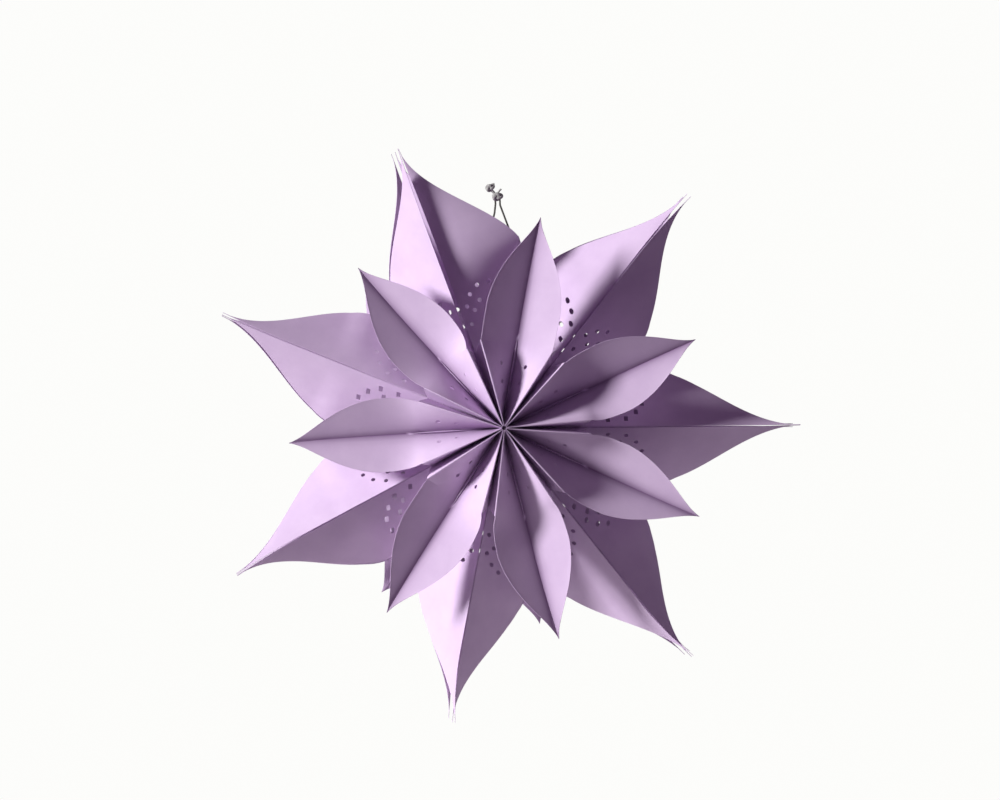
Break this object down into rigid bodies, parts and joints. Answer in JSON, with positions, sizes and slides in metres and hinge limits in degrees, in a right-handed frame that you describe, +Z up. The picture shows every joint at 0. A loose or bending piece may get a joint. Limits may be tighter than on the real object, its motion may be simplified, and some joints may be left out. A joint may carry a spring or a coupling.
{
  "type": "paper christmas star",
  "caption": "Folded and die-cut lavender paper star with small petals over large ones on both faces, glued from folded units, with a knotted hanging cord.",
  "frame": {"origin": "point under the lower knot where the cord rests on a hook or nail", "axes": "+Z up, -Y towards the viewer along the star's axis, +X to the viewer's right"},
  "size_m": [0.4338, 0.1632, 0.4343],
  "materials": {
    "paper": "matte coloured paper, lavender all through, with crisp folds",
    "cord": "thin waxed cord, dark olive grey",
    "knots": "pulled knots of the cord, grey, dusty"
  },
  "bodies": {
    "root": {"unit_1": "paper", "unit_2": "paper", "unit_3": "paper", "unit_4": "paper", "unit_5": "paper", "unit_6": "paper", "unit_7": "paper", "hanging_cord": "cord", "cord_knots": "knots"}
  },
  "joints": []
}
